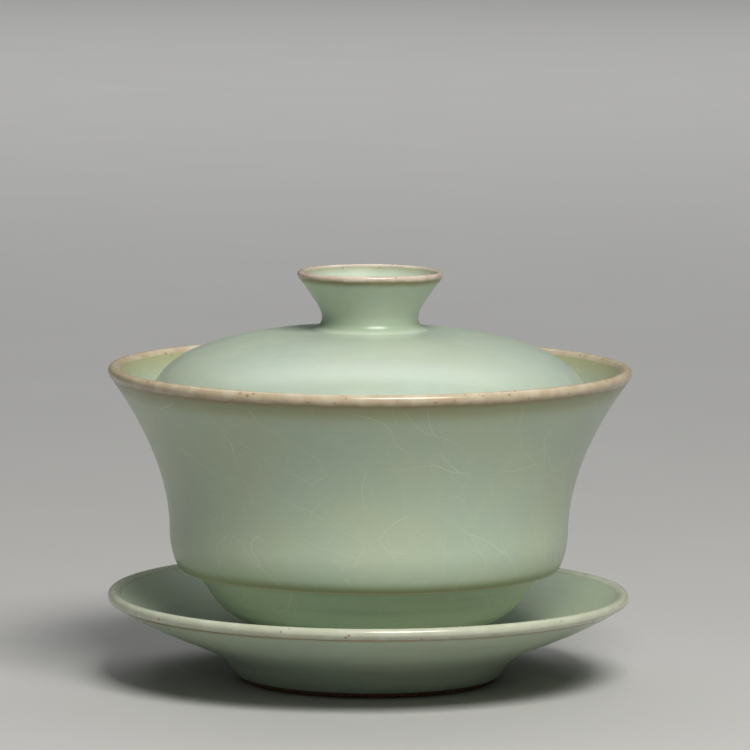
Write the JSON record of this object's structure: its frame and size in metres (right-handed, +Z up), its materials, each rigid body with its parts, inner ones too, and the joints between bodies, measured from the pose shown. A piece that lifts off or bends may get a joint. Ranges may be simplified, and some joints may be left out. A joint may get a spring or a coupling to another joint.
{
  "type": "gaiwan",
  "caption": "Lidded tea bowl with a flared mouth and a stepped base, standing in a footed saucer, with a domed lid and a ring-shaped knob; the lid and the bowl lift off.",
  "frame": {"origin": "centre of the saucer's foot ring, on the surface it stands on", "axes": "+Z up along the axis that every piece is turned about; -Y towards the viewer"},
  "size_m": [0.1, 0.1, 0.0785],
  "materials": {
    "saucer_glaze": "satin celadon glaze, bare clay on the foot's edge",
    "bowl_glaze": "satin celadon glaze with fine crackle, thin and brown at the lip",
    "lid_glaze": "satin celadon glaze, thin and pale at the knob's lip"
  },
  "bodies": {
    "saucer": {"saucer": "saucer_glaze"},
    "bowl": {"bowl": "bowl_glaze"},
    "lid": {"lid_dome": "lid_glaze", "lid_knob": "lid_glaze"}
  },
  "joints": [
    {"name": "bowl_lift", "type": "slide", "parent": "saucer", "child": "bowl", "axis": [0, 0, 1], "range_m": [0, 0.06]},
    {"name": "lid_lift", "type": "slide", "parent": "bowl", "child": "lid", "axis": [0, 0, 1], "range_m": [0, 0.06]}
  ]
}
